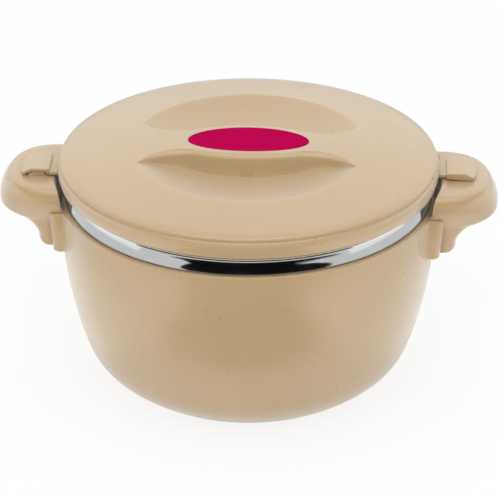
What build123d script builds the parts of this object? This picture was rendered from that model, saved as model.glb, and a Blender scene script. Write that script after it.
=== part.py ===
from build123d import *
import os
from math import asin, cos, degrees, radians, sin, sqrt

# A round insulated serving bowl with a twist-off lid. Millimetres, +Z up.
# The origin is the middle of the ring that it stands on. The handles lie along X.

# Outer bowl: three tangent arcs from the standing ring up to the rim, given by radius and lean from upright
rim_radius = 113.2
bowl_height = 124.0
bowl_wall = 2.4
wall_arc_radius = 240.0
heel_arc_radius = 35.4
belly_arc_radius = 87.0
wall_lean = 19.5
heel_lean = 47.7
belly_lean = 68.7
rim_rounding = 0.9
foot_recess_depth = 1.6
foot_width = 6.0

# Steel pot with a flat rim and an upright collar that tucks inside the bowl's rim
pot_inset = 12.2
pot_sheet = 0.9
pot_rim_height = 11.0
pot_rim_rounding = 1.6
pot_mouth_rounding = 1.2
collar_tuck = 6.0
collar_fit = 0.15

# Filling holes and their stoppers, alike under the bowl and under the lid
fill_hole_radius = 5.0
plug_fit = 0.1
plug_head_radius = 7.5
plug_head_thickness = 1.1
foam_gap = 0.2

# Handle rails on the bowl
rail_gap = 0.4
rail_thickness = 7.4
rail_reach = 9.4
rail_foot_reach = 7.2
rail_height = 25.0
rail_flank = 4.6
rail_flank_root = 4.4
rail_rounding = 1.4

# Handles: a hollow ear on a solid root. Each row of the ear holds shares of its height, reach and width
handle_reach = 38.1
handle_half_width = 31.8
handle_centre_offset = 1.8
handle_rise = 14.5
ear_thickness = 24.2
ear_shares = (
    (0.00, 0.860, 0.820),
    (0.05, 0.920, 0.880),
    (0.16, 0.985, 0.930),
    (0.36, 1.000, 0.960),
    (0.62, 0.990, 1.000),
    (0.84, 0.925, 1.010),
    (0.95, 0.840, 0.985),
    (1.00, 0.740, 0.930),
)
ear_wall = 3.0
root_half_width = 29.0
root_thickness = 12.6
root_foot_height = 4.7
root_scoop_radius = 10.6
root_edge_rounding = 4.0
handle_lid_gap = 1.6
handle_seat_gap = 0.2

# Handle screws, put in from inside the bowl through a flat pad on its wall
screw_spread = 15.0
screw_drop = 14.6
screw_shank_radius = 1.9
screw_fit = 0.15
screw_grip = 7.0
screw_head_radius = 3.8
screw_head_thickness = 2.2
screw_pad_radius = 6.0
screw_pad_depth = 1.2

# Lid: dome, shoulder, groove, skirt
lid_overhang = 1.8
lid_wall = 2.6
lid_lift_gap = 1.6
skirt_height = 9.9
skirt_rounding = 1.7
shoulder_rounding = 1.1
groove_inset = 1.5
groove_width = 0.9
shoulder_height = 2.36
dome_arc_radius = 640.0

# Finger scoops: round hollows on either side of the pinch bar
scoop_radius = 69.4
scoop_offset = 6.1
scoop_depth = 13.8
bar_half_width = 25.6
bar_waist_half_width = 18.4
bar_waist_reach = 42.0
bar_tip_half_width = 27.8
bar_tip_reach = 65.0

# Oval plate let into the pinch bar
badge_half_length = 36.3
badge_half_width = 16.5
badge_thickness = 0.9
badge_stand = 0.3
badge_fit = 0.15

# Locking hoods over the handles, and the tongue on each handle that a hood slides over
hood_inner_gap = 2.9
hood_width = 18.0
hood_flat_width = 11.0
hood_closed_length = 10.5
hood_open_length = 14.5
hood_height = 4.2
hood_edge_height = 0.8
hood_wall = 1.7
hood_bow_radius = 34.0
hood_float = 0.4
hood_edge_rounding = 0.7
neck_setback = 4.2
neck_thickness = 1.8
neck_drop = 1.4
tongue_inset = 8.0
tongue_width = 4.0
tongue_height = 1.7
tongue_stop_gap = 0.5

# Lid liner, its pan and the seal under its flange
liner_wall = 2.0
liner_pan_gap = 1.8
liner_pan_depth = 8.6
liner_edge_gap = 0.3
ledge_width = 5.0
ledge_thickness = 2.0
pan_rounding = 3.0
seal_width = 6.4
seal_thickness = 2.6
seal_setback = 1.4
seal_lip = 0.8

overrun = 20.0

# Worked-out levels and radii
lid_radius = rim_radius + lid_overhang
shoulder_radius = lid_radius - groove_inset
pot_rim_level = bowl_height + pot_rim_height
skirt_level = pot_rim_level + lid_lift_gap
groove_level = skirt_level + skirt_height
dome_centre = groove_level + shoulder_height - sqrt(dome_arc_radius ** 2 - shoulder_radius ** 2)
crown_level = dome_centre + dome_arc_radius
pot_mouth_radius = rim_radius - pot_inset
collar_radius = rim_radius - bowl_wall - collar_fit
floor_level = foot_recess_depth + bowl_wall
flange_level = pot_rim_level + seal_thickness
ledge_level = flange_level + liner_wall
pan_radius = pot_mouth_radius - liner_pan_gap
pan_level = flange_level - liner_pan_depth
handle_top = bowl_height + handle_rise
handle_face_radius = lid_radius + handle_lid_gap
ear_bottom = handle_top - ear_thickness
root_bottom = ear_bottom - root_scoop_radius - root_foot_height
screw_level = bowl_height - screw_drop
hood_level = handle_top + hood_float

# Leans and centres of the bowl's three arcs, worked out from the standing level up
heel_level = belly_arc_radius * (sin(radians(belly_lean)) - sin(radians(heel_lean)))
side_level = heel_level + heel_arc_radius * (sin(radians(heel_lean)) - sin(radians(wall_lean)))
wall_centre_z = side_level + wall_arc_radius * sin(radians(wall_lean))
rim_lean = degrees(asin((wall_centre_z - bowl_height) / wall_arc_radius))
wall_centre_r = rim_radius - wall_arc_radius * cos(radians(rim_lean))
heel_centre_r = wall_centre_r + (wall_arc_radius - heel_arc_radius) * cos(radians(wall_lean))
heel_centre_z = heel_level + heel_arc_radius * sin(radians(heel_lean))
belly_centre_r = heel_centre_r + (heel_arc_radius - belly_arc_radius) * cos(radians(heel_lean))
belly_centre_z = belly_arc_radius * sin(radians(belly_lean))
foot_radius = belly_centre_r + belly_arc_radius * cos(radians(belly_lean))


def disc(radius, low, high):
    """Upright cylinder on the axis between two levels."""
    return Pos(0, 0, low) * Cylinder(radius, high - low, align=(Align.CENTER, Align.CENTER, Align.MIN))


def ring(inner, outer, low, high):
    """Flat ring on the axis between two levels."""
    return disc(outer, low, high) - disc(inner, low, high)


def block(x_range, y_range, z_range):
    """Box between two corners."""
    size = [high - low for low, high in (x_range, y_range, z_range)]
    return Pos(x_range[0], y_range[0], z_range[0]) * Box(*size, align=(Align.MIN, Align.MIN, Align.MIN))


def turned(*edges):
    """Solid of revolution from the edges of a half section in the XZ plane."""
    return revolve(make_face(list(edges)), Axis.Z)


def hoops(solid):
    """Closed round edges of a solid, lowest first."""
    return solid.edges().filter_by(lambda edge: edge.is_closed).sort_by(Axis.Z)


def lean_point(centre_r, centre_z, radius, lean):
    """Point of a bowl arc where the wall leans by this angle."""
    return (centre_r + radius * cos(radians(lean)), 0, centre_z - radius * sin(radians(lean)))


def lean_arc(centre_r, centre_z, radius, low_lean, high_lean):
    """Arc of the bowl's section between two leans, from below upwards."""
    leans = (low_lean, (low_lean + high_lean) / 2, high_lean)
    return ThreePointArc(*[lean_point(centre_r, centre_z, radius, lean) for lean in leans])


def bowl_form(inset, top):
    """Solid with the bowl's outer shape moved inwards by inset, carried straight up to a level."""
    belly = lean_arc(belly_centre_r, belly_centre_z, belly_arc_radius - inset, belly_lean, heel_lean)
    heel = lean_arc(heel_centre_r, heel_centre_z, heel_arc_radius - inset, heel_lean, wall_lean)
    wall = lean_arc(wall_centre_r, wall_centre_z, wall_arc_radius - inset, wall_lean, rim_lean)
    bottom = belly @ 0
    rim = wall @ 1
    above = top + overrun
    outline = Polyline(rim, (rim.X, 0, above), (0, 0, above), (0, 0, bottom.Z), bottom)
    return turned(belly, heel, wall, outline) & disc(lid_radius + overrun, -overrun, top)


def dome_form(inset, radius, low):
    """Upright cylinder from a level up to the lid's dome, lowered by inset."""
    reach = dome_arc_radius - inset
    radii = (0, radius / 2, radius)
    crown, middle, edge = [(r, 0, dome_centre + sqrt(reach ** 2 - r ** 2)) for r in radii]
    outline = Polyline(edge, (radius, 0, low), (0, 0, low), crown)
    return turned(ThreePointArc(crown, middle, edge), outline)


def rails():
    """Four upright rails that hold the handle roots sideways."""
    inner_y = root_half_width + rail_gap
    outer_y = inner_y + rail_thickness
    reach = rim_radius + rail_reach
    bottom = bowl_height - rail_height
    core = bowl_form(bowl_wall / 2, bowl_height)
    flank_x = sqrt(rim_radius ** 2 - outer_y ** 2) + rail_flank_root
    taper = Pos(0, 0, bottom) * Cone(
        rim_radius + rail_foot_reach, reach, rail_height, align=(Align.CENTER, Align.CENTER, Align.MIN)
    )
    bar = block((0, reach), (inner_y, outer_y), (bottom, bowl_height)) & taper
    corner = bar.faces().sort_by(Axis.Y)[-1].edges().sort_by(Axis.X)[-1]
    bar = fillet(corner, rail_rounding)
    flank_y = outer_y + rail_flank
    flank_outline = Polyline(
        (0, outer_y), (flank_x, outer_y), (flank_x - rail_flank, flank_y), (0, flank_y), close=True
    )
    flank = Pos(0, 0, bottom + rail_flank) * extrude(make_face(flank_outline), rail_height - rail_flank)
    rail = bar + flank - core
    pair = rail + mirror(rail, about=Plane.XZ)
    return pair + Rot(0, 0, 180) * pair


def screw_places():
    """Places of the four handle screws, each with its +X axis pointing outwards."""
    places = []
    for turn in (0, 180):
        for spread in (-screw_spread, screw_spread):
            places.append(Rot(0, 0, turn) * Pos(0, spread, screw_level) * Rot(0, 90, 0))
    return places


# Flat pads inside the bowl wall, where the screw heads bear
pad_face = sqrt((rim_radius - bowl_wall) ** 2 - (screw_spread + screw_pad_radius) ** 2) - screw_pad_depth
screw_tip = rim_radius + screw_grip


def make_outer_bowl():
    """Moulded shell with rails, standing ring, screw pads and filling hole."""
    above = bowl_height + overrun
    cavity = bowl_form(bowl_wall, above) & disc(rim_radius, floor_level, above)
    shell = bowl_form(0, bowl_height) - cavity
    shell = fillet(hoops(shell)[-2:].sort_by(SortBy.LENGTH)[-1], rim_rounding)
    shell -= disc(foot_radius - foot_width, -overrun, foot_recess_depth)
    shell += rails()
    inside_wall = bowl_form(bowl_wall / 2, bowl_height)
    for place in screw_places():
        pad = place * Pos(0, 0, pad_face) * Cylinder(
            screw_pad_radius, rim_radius - pad_face, align=(Align.CENTER, Align.CENTER, Align.MIN)
        )
        shell += pad & inside_wall
        hole = place * Cylinder(
            screw_shank_radius + screw_fit, screw_tip, align=(Align.CENTER, Align.CENTER, Align.MIN)
        )
        shell -= hole
    return shell - disc(fill_hole_radius, -overrun, floor_level + overrun)


def make_inner_pot():
    """Deep-drawn steel pot with a flat rim and an upright collar."""
    skirt_bottom = bowl_height - collar_tuck
    wall = bowl_form(pot_inset - pot_sheet, pot_rim_level)
    rim = disc(collar_radius, skirt_bottom, pot_rim_level)
    channel = ring(
        pot_mouth_radius + pot_sheet, collar_radius - pot_sheet, skirt_bottom, pot_rim_level - pot_sheet
    )
    collar = fillet(hoops(rim)[-1], pot_rim_rounding)
    pot = wall + (collar - channel) - bowl_form(pot_inset, pot_rim_level + overrun)
    return fillet(hoops(pot)[-2:].sort_by(SortBy.LENGTH)[0], pot_mouth_rounding)


def make_body_insulation():
    """Foam between bowl and pot, with room for the screw heads."""
    top = bowl_height - collar_tuck - foam_gap
    space = bowl_form(bowl_wall + foam_gap, bowl_height) & disc(rim_radius, floor_level + foam_gap, top)
    space += ring(
        pot_mouth_radius + pot_sheet + foam_gap,
        collar_radius - pot_sheet - foam_gap,
        top,
        pot_rim_level - pot_sheet - foam_gap,
    )
    space -= bowl_form(pot_inset - pot_sheet - foam_gap, pot_rim_level + overrun)
    for place in screw_places():
        space -= place * Cylinder(
            screw_pad_radius + foam_gap, screw_tip, align=(Align.CENTER, Align.CENTER, Align.MIN)
        )
    return space


def make_plug(seat_level, hole_depth):
    """Stopper pushed up into a filling hole, with its head under the seat."""
    head = disc(plug_head_radius, seat_level - plug_head_thickness, seat_level)
    return head + disc(fill_hole_radius - plug_fit, seat_level, seat_level + hole_depth)


def make_screws():
    """Four pan-head screws through the bowl wall into the handle roots."""
    screws = []
    for place in screw_places():
        head = Pos(0, 0, pad_face - screw_head_thickness) * Cylinder(
            screw_head_radius, screw_head_thickness, align=(Align.CENTER, Align.CENTER, Align.MIN)
        )
        shank = Pos(0, 0, pad_face) * Cylinder(
            screw_shank_radius, screw_tip - pad_face, align=(Align.CENTER, Align.CENTER, Align.MIN)
        )
        screws.append(place * (head + shank))
    return Compound(children=screws)


def ear_section(level, reach, half_width):
    """Plan outline of the ear at one level: a half ellipse with a straight back inside the bowl."""
    centre_x = rim_radius + handle_centre_offset
    back_x = centre_x - handle_reach
    nose = EllipticalCenterArc(
        (centre_x, 0), reach - handle_centre_offset, half_width, start_angle=-90, arc_size=180
    )
    back = Polyline(
        (centre_x, half_width), (back_x, half_width), (back_x, -half_width), (centre_x, -half_width)
    )
    return Pos(0, 0, level) * make_face([nose, back])


def ear_form(inset):
    """Pillow-shaped ear, lofted through its plan outlines and drawn in by inset."""
    height = ear_thickness - 2 * inset
    sections = []
    for height_share, reach_share, width_share in ear_shares:
        level = ear_bottom + inset + height * height_share
        reach = handle_reach * reach_share - inset
        half_width = handle_half_width * width_share - inset
        sections.append(ear_section(level, reach, half_width))
    return loft(sections)


def root_form():
    """Solid root under the ear, scooped where the fingers go."""
    face_x = rim_radius + root_thickness
    back_x = rim_radius - root_thickness
    scoop_x = face_x + root_scoop_radius
    scoop_z = ear_bottom - root_scoop_radius
    middle = root_scoop_radius * cos(radians(45))
    scoop = ThreePointArc(
        (scoop_x, 0, ear_bottom), (scoop_x - middle, 0, scoop_z + middle), (face_x, 0, scoop_z)
    )
    join = ear_bottom + ear_wall
    outline = Polyline(
        (face_x, 0, scoop_z), (face_x, 0, root_bottom), (back_x, 0, root_bottom), (back_x, 0, join),
        (scoop_x, 0, join), (scoop_x, 0, ear_bottom),
    )
    root = extrude(make_face([scoop, outline]), root_half_width, dir=(0, 1, 0), both=True)
    foot_edge = root.edges().filter_by(Axis.Y).group_by(Axis.Z)[0].sort_by(Axis.X)[-1]
    root = fillet(foot_edge, root_edge_rounding)
    bottom_shares = ear_shares[1]
    plan = ear_section(root_bottom - overrun, handle_reach * bottom_shares[1], root_half_width)
    return root & extrude(plan, ear_bottom + ear_wall + overrun - root_bottom)


def make_right_handle():
    """Ear handle at +X: hollow ear, solid root, tongue on top, cut to the bowl and clear of the lid."""
    hollow = ear_form(ear_wall)
    handle = ear_form(0) + root_form()
    tongue_outer = handle_face_radius + tongue_inset + tongue_width
    tongue_inner = tongue_outer - tongue_width
    tongue = ring(tongue_inner, tongue_outer, handle_top - ear_wall, handle_top + tongue_height)
    tongue_end = hood_wall + tongue_stop_gap - hood_closed_length
    tongue &= block((0, tongue_outer), (tongue_end, hood_open_length), (0, crown_level))
    handle = handle - hollow + tongue
    handle -= disc(handle_face_radius, bowl_height + handle_seat_gap, crown_level)
    handle -= bowl_form(-handle_seat_gap, bowl_height + handle_seat_gap)
    rail_room = block(
        (0, rim_radius + rail_reach + rail_gap),
        (root_half_width, root_half_width + handle_half_width),
        (root_bottom, bowl_height + rail_gap),
    )
    handle -= rail_room + mirror(rail_room, about=Plane.XZ)
    for place in screw_places()[:2]:
        handle -= place * Cylinder(
            screw_shank_radius + screw_fit,
            screw_tip + screw_fit,
            align=(Align.CENTER, Align.CENTER, Align.MIN),
        )
    return handle


def bar_edge(shrink):
    """Edge of the pinch bar in plan, front side mirrored: one bulging arc between two flaring ones."""
    middle = bar_half_width - shrink
    waist = bar_waist_half_width - shrink
    tip = bar_tip_half_width - shrink
    run = bar_tip_reach - bar_waist_reach
    rise = tip - waist
    flare_radius = (run ** 2 + rise ** 2) / (2 * rise)
    drop = waist + flare_radius - middle
    bulge_radius = (bar_waist_reach ** 2 + drop ** 2 - flare_radius ** 2) / (2 * (flare_radius - drop))
    turn_share = bulge_radius / (bulge_radius + flare_radius)
    turn_x = bar_waist_reach * turn_share
    turn_y = middle - bulge_radius + (bulge_radius + drop) * turn_share
    left = ThreePointArc((-bar_tip_reach, tip), (-bar_waist_reach, waist), (-turn_x, turn_y))
    bulge = ThreePointArc((-turn_x, turn_y), (0, middle), (turn_x, turn_y))
    right = ThreePointArc((turn_x, turn_y), (bar_waist_reach, waist), (bar_tip_reach, tip))
    return left, bulge, right, tip


def scoop_form(grow):
    """One finger scoop at +Y: a ball cut off by the pinch bar's edge, grown all round by a wall."""
    left, bulge, right, tip = bar_edge(grow)
    far_x = lid_radius
    outline = Polyline(
        (bar_tip_reach, tip), (far_x, tip), (far_x, lid_radius), (-far_x, lid_radius), (-far_x, tip),
        (-bar_tip_reach, tip),
    )
    plan = make_face([left, bulge, right, outline])
    edge_drop = scoop_radius ** 2 / (2 * dome_arc_radius)
    rise = scoop_depth - edge_drop
    ball_radius = (scoop_radius ** 2 + rise ** 2) / (2 * rise)
    ball_level = crown_level - scoop_depth + ball_radius
    ball = Pos(0, scoop_offset, ball_level) * Sphere(ball_radius + grow)
    return Pos(0, 0, skirt_level) * extrude(plan, crown_level + overrun - skirt_level) & ball


def both_scoops(grow):
    """Front and back finger scoops."""
    scoop = scoop_form(grow)
    return scoop + Rot(0, 0, 180) * scoop


def hood_profile(inset, low):
    """Section of a locking hood in the XZ plane: flat top, then a slope down to its outer edge."""
    inner_x = lid_radius + hood_inner_gap + handle_lid_gap
    outer_x = inner_x + hood_width
    fold_x = inner_x + hood_flat_width
    top = hood_level + hood_height
    edge = hood_level + hood_edge_height
    return Polyline(
        (inner_x + inset, 0, low), (inner_x + inset, 0, top - inset), (fold_x - inset / 2, 0, top - inset),
        (outer_x - inset, 0, edge - inset / 2), (outer_x - inset, 0, low), close=True,
    )


def make_hood():
    """Locking hood at +X, closed at the front and open at the back, with its neck to the skirt."""
    length = hood_closed_length + hood_open_length
    inner_x = lid_radius + hood_inner_gap + handle_lid_gap
    outer_x = inner_x + hood_width
    body = extrude(make_face(hood_profile(0, hood_level)), length, dir=(0, 1, 0))
    bow = Pos(outer_x - hood_bow_radius, length / 2, 0) * disc(hood_bow_radius, 0, crown_level)
    body = body & bow
    body = fillet(body.edges().group_by(Axis.Z)[-1], hood_edge_rounding)
    hollow = extrude(make_face(hood_profile(hood_wall, hood_level - overrun)), length, dir=(0, 1, 0))
    body = Pos(0, -hood_closed_length, 0) * (body - Pos(0, hood_wall, 0) * hollow)
    neck_top = hood_level + hood_height - neck_drop
    neck = block(
        (lid_radius - lid_wall / 2, inner_x + hood_wall / 2),
        (neck_setback - hood_closed_length, hood_open_length),
        (neck_top - neck_thickness, neck_top),
    )
    return body + neck


def badge_prism(grow, low, high):
    """Upright oval prism over the middle of the pinch bar."""
    oval = Ellipse(badge_half_length + grow, badge_half_width + grow)
    return Pos(0, 0, low) * extrude(oval, high - low)


def make_lid_badge():
    """Thin oval plate that follows the dome."""
    oval = badge_prism(0, groove_level, crown_level + overrun)
    plate = oval & dome_form(-badge_stand, lid_radius, groove_level)
    return plate - dome_form(badge_thickness - badge_stand, lid_radius, groove_level)


def make_lid_shell():
    """Domed lid top with skirt, groove, scoops, badge seat, liner ledge and two locking hoods."""
    skirt = disc(lid_radius, skirt_level, groove_level)
    skirt = fillet(hoops(skirt)[-1], skirt_rounding)
    dome = dome_form(0, shoulder_radius, groove_level)
    dome = fillet(hoops(dome)[-1], shoulder_rounding)
    groove = ring(shoulder_radius - groove_width, lid_radius, groove_level, groove_level + groove_width)
    cavity = dome_form(lid_wall, lid_radius - lid_wall, skirt_level - overrun) - both_scoops(lid_wall)
    ledge_inner = lid_radius - lid_wall - ledge_width
    ledge = ring(ledge_inner, lid_radius, ledge_level, ledge_level + ledge_thickness)
    shell = skirt + (dome - groove) - both_scoops(0) - (cavity - ledge)
    seat_floor = badge_prism(badge_fit, groove_level, crown_level + overrun)
    shell -= seat_floor - dome_form(badge_thickness - badge_stand, lid_radius, groove_level)
    hood = make_hood()
    return shell + hood + Rot(0, 0, 180) * hood


def make_lid_liner():
    """Pan that closes the lid from below, with a flange under the ledge and a filling hole."""
    flange = disc(lid_radius - lid_wall - liner_edge_gap, flange_level, ledge_level)
    pan = disc(pan_radius, pan_level, ledge_level)
    pan = fillet(hoops(pan)[0], pan_rounding)
    hollow = disc(pan_radius - liner_wall, pan_level + liner_wall, ledge_level + overrun)
    return flange + pan - hollow - disc(fill_hole_radius, pan_level - overrun, ledge_level)


def make_lid_insulation():
    """Foam that fills the lid above its liner."""
    inner = lid_radius - lid_wall - ledge_width - foam_gap
    join = ledge_level + foam_gap
    upper = dome_form(lid_wall + foam_gap, inner, join)
    lower = disc(pan_radius - liner_wall - foam_gap, pan_level + liner_wall + foam_gap, join)
    return upper + lower - both_scoops(lid_wall + foam_gap)


def make_lid_seal():
    """Flat sealing ring with a bevelled inner lip, between the liner's flange and the pot's rim."""
    outer = collar_radius - seal_setback
    inner = outer - seal_width
    return turned(Polyline(
        (inner + seal_lip, 0, pot_rim_level), (outer, 0, pot_rim_level), (outer, 0, flange_level),
        (inner, 0, flange_level), (inner, 0, pot_rim_level + seal_lip), close=True,
    ))


right_handle = make_right_handle()
pieces = {
    "outer_bowl": make_outer_bowl(),
    "inner_pot": make_inner_pot(),
    "body_insulation": make_body_insulation(),
    "foam_plug": make_plug(foot_recess_depth, bowl_wall),
    "handle_screws": make_screws(),
    "right_handle": right_handle,
    "left_handle": Rot(0, 0, 180) * right_handle,
    "lid_shell": make_lid_shell(),
    "lid_liner": make_lid_liner(),
    "lid_insulation": make_lid_insulation(),
    "lid_foam_plug": make_plug(pan_level, liner_wall),
    "lid_seal": make_lid_seal(),
    "lid_badge": make_lid_badge(),
}

os.makedirs("parts", exist_ok=True)
for name, piece in pieces.items():
    export_step(piece, f"parts/{name}.step")
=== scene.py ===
from math import asin, copysign, cos, degrees, pi, radians, sin, sqrt

import bmesh
import bpy
from mathutils import Matrix, Vector


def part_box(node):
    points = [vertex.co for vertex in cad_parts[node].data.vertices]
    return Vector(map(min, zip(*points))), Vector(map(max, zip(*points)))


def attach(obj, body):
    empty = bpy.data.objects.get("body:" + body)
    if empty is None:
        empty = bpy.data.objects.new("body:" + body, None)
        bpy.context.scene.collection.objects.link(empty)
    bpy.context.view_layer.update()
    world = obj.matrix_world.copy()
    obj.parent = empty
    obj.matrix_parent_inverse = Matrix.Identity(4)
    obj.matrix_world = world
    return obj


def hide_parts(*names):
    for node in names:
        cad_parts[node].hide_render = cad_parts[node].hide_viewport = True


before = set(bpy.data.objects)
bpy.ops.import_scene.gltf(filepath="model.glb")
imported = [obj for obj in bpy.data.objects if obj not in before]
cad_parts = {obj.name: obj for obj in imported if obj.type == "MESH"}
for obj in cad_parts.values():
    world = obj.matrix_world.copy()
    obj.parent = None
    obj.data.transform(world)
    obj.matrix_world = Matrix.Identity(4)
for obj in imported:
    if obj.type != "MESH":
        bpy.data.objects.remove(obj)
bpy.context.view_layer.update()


# Outer bowl
# The shell is one polypropylene moulding, beige all through, with a satin skin from the mould.
# It rises from a narrow standing ring in three tangent curves, and its floor has the foam's filling hole.
mm = 0.001
turn_steps = 192
curve_steps = 10
wall_steps = 16
corner_steps = 5
sharp_angle = radians(32)
weld = 0.002 * mm

rim_radius = 113.2 * mm
rim_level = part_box("outer_bowl")[1].z
rim_rounding = 1.2 * mm
bowl_wall = 2.4 * mm
wall_arc = 240 * mm
heel_arc = 35.4 * mm
belly_arc = 87 * mm
wall_lean = 19.5
heel_lean = 47.7
belly_lean = 68.7
foot_width = 6 * mm
foot_rounding = 0.8 * mm
recess_level = 1.6 * mm
fill_hole_radius = 5 * mm

beige = (0.437, 0.305, 0.146, 1)
beige_deep = (0.412, 0.284, 0.131, 1)

belly_z = belly_arc * sin(radians(belly_lean))
heel_z = belly_z - (belly_arc - heel_arc) * sin(radians(heel_lean))
wall_z = heel_z + (wall_arc - heel_arc) * sin(radians(wall_lean))
rim_lean = degrees(asin((wall_z - rim_level) / wall_arc))
wall_r = rim_radius - wall_arc * cos(radians(rim_lean))
heel_r = wall_r + (wall_arc - heel_arc) * cos(radians(wall_lean))
belly_r = heel_r + (heel_arc - belly_arc) * cos(radians(heel_lean))
foot_radius = belly_r + belly_arc * cos(radians(belly_lean))


def arc(centre, radius, start, end, steps):
    """Points of a round stretch of a half section, from one angle to another in degrees."""
    turns = [radians(start + (end - start) * step / steps) for step in range(steps + 1)]
    return [(centre[0] + radius * cos(turn), centre[1] + radius * sin(turn)) for turn in turns]


def bowl_curve(inset):
    """The bowl's outer half section from the standing ring to the rim, moved inwards by inset."""
    belly = arc((belly_r, belly_z), belly_arc - inset, -belly_lean, -heel_lean, curve_steps)
    heel = arc((heel_r, heel_z), heel_arc - inset, -heel_lean, -wall_lean, curve_steps)
    wall = arc((wall_r, wall_z), wall_arc - inset, -wall_lean, -rim_lean, wall_steps)
    return belly + heel[1:] + wall[1:]


def turned(outline, roundings=None):
    """Spins a closed half section about the bowl's axis. Roundings gives the corners to round, by index."""
    bm = bmesh.new()
    corners = [bm.verts.new((radius, 0, height)) for radius, height in outline]
    for near, far in zip(corners, corners[1:] + corners[:1]):
        bm.edges.new((near, far))
    for index, rounding in (roundings or {}).items():
        bmesh.ops.bevel(
            bm, geom=[corners[index]], offset=rounding, offset_type="OFFSET",
            segments=corner_steps, profile=0.5, affect="VERTICES", material=-1,
        )
    bmesh.ops.spin(
        bm, geom=bm.verts[:] + bm.edges[:], angle=2 * pi, steps=turn_steps, axis=(0, 0, 1),
        cent=(0, 0, 0), use_merge=True,
    )
    bmesh.ops.remove_doubles(bm, verts=bm.verts[:], dist=weld)
    bmesh.ops.recalc_face_normals(bm, faces=bm.faces[:])
    return bm


def piece(name, bm, material, body):
    """Makes a finished mesh an object with smooth shading that rides on a body."""
    mesh = bpy.data.meshes.new(name)
    bm.to_mesh(mesh)
    bm.free()
    mesh.shade_smooth()
    mesh.set_sharp_from_angle(angle=sharp_angle)
    mesh.materials.append(material)
    made = bpy.data.objects.new(name, mesh)
    bpy.context.scene.collection.objects.link(made)
    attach(made, body)
    return made


def new_group(name, inputs, outputs):
    """An empty shader node group with number or colour sockets, and its two end nodes."""
    group = bpy.data.node_groups.new(name, "ShaderNodeTree")
    for socket, kind in inputs:
        group.interface.new_socket(socket, in_out="INPUT", socket_type=kind)
    for socket, kind in outputs:
        group.interface.new_socket(socket, in_out="OUTPUT", socket_type=kind)
    start = group.nodes.new("NodeGroupInput")
    end = group.nodes.new("NodeGroupOutput")
    return group, start.outputs, end.inputs


def noise(group, vector, scale, detail):
    """A noise value over a piece, at a scale in waves to the metre."""
    node = group.nodes.new("ShaderNodeTexNoise")
    node.inputs["Scale"].default_value = scale
    node.inputs["Detail"].default_value = detail
    group.links.new(vector, node.inputs["Vector"])
    return node.outputs["Fac"]


noise_middle = (0.3, 0.7)


def spread(group, value, low, high):
    """Stretches the middle of a noise value over a range."""
    node = group.nodes.new("ShaderNodeMapRange")
    node.inputs["From Min"].default_value = noise_middle[0]
    node.inputs["From Max"].default_value = noise_middle[1]
    node.inputs["To Min"].default_value = low
    node.inputs["To Max"].default_value = high
    group.links.new(value, node.inputs["Value"])
    return node.outputs["Result"]


def mixed(group, share, first, second):
    """One colour mixed into another by a share."""
    node = group.nodes.new("ShaderNodeMix")
    node.data_type = "RGBA"
    group.links.new(share, node.inputs["Factor"])
    group.links.new(first, node.inputs["A"])
    group.links.new(second, node.inputs["B"])
    return node.outputs["Result"]


def summed(group, first, second):
    """The sum of two values."""
    node = group.nodes.new("ShaderNodeMath")
    node.operation = "ADD"
    group.links.new(first, node.inputs[0])
    group.links.new(second, node.inputs[1])
    return node.outputs[0]


# What every skin group takes and gives
skin_inputs = (
    ("Colour", "NodeSocketColor"),
    ("Second Colour", "NodeSocketColor"),
    ("Roughness", "NodeSocketFloat"),
)
skin_outputs = (
    ("Colour", "NodeSocketColor"),
    ("Roughness", "NodeSocketFloat"),
    ("Height", "NodeSocketFloat"),
)


# Moulded skin: slow drifts of tone from the melt's flow, a fine spark-eroded grain, and handling sheen
def moulded_skin_group():
    group, given, made = new_group("moulded_skin", skin_inputs, skin_outputs)
    place = group.nodes.new("ShaderNodeTexCoord").outputs["Object"]
    drift = noise(group, place, scale=14, detail=2)
    grain = noise(group, place, scale=900, detail=1)
    sheen = noise(group, place, scale=45, detail=4)
    drift_tone = spread(group, drift, low=-0.25, high=0.55)
    tone = summed(group, drift_tone, spread(group, grain, low=0.05, high=0.2))
    group.links.new(mixed(group, tone, given["Colour"], given["Second Colour"]), made["Colour"])
    shine = summed(group, given["Roughness"], spread(group, sheen, low=-0.035, high=0.035))
    group.links.new(shine, made["Roughness"])
    group.links.new(grain, made["Height"])
    return group


def surface_finish(name, group, colours, roughness, relief, strength):
    """A material that takes its colour, roughness and fine relief from a skin group."""
    material = bpy.data.materials.new(name)
    material.use_nodes = True
    tree = material.node_tree
    shader = tree.nodes["Principled BSDF"]
    skin = tree.nodes.new("ShaderNodeGroup")
    skin.node_tree = group
    skin.inputs["Colour"].default_value = colours[0]
    skin.inputs["Second Colour"].default_value = colours[1]
    skin.inputs["Roughness"].default_value = roughness
    bump = tree.nodes.new("ShaderNodeBump")
    bump.inputs["Strength"].default_value = strength
    bump.inputs["Distance"].default_value = relief
    tree.links.new(skin.outputs["Colour"], shader.inputs["Base Color"])
    tree.links.new(skin.outputs["Roughness"], shader.inputs["Roughness"])
    tree.links.new(skin.outputs["Height"], bump.inputs["Height"])
    tree.links.new(bump.outputs["Normal"], shader.inputs["Normal"])
    return material


moulded_skin = moulded_skin_group()
grain_strength = 0.05


def moulded_plastic(name, colours, roughness, grain_height):
    """A moulded plastic with the skin's drift, grain and sheen."""
    return surface_finish(name, moulded_skin, colours, roughness, grain_height, grain_strength)


beige_plastic = moulded_plastic(
    "beige_plastic", (beige, beige_deep), roughness=0.3, grain_height=0.02 * mm
)
beige_shader = beige_plastic.node_tree.nodes["Principled BSDF"]
beige_shader.inputs["IOR"].default_value = 1.75
beige_shader.inputs["Sheen Weight"].default_value = 0.45
beige_shader.inputs["Sheen Roughness"].default_value = 0.45

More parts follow.
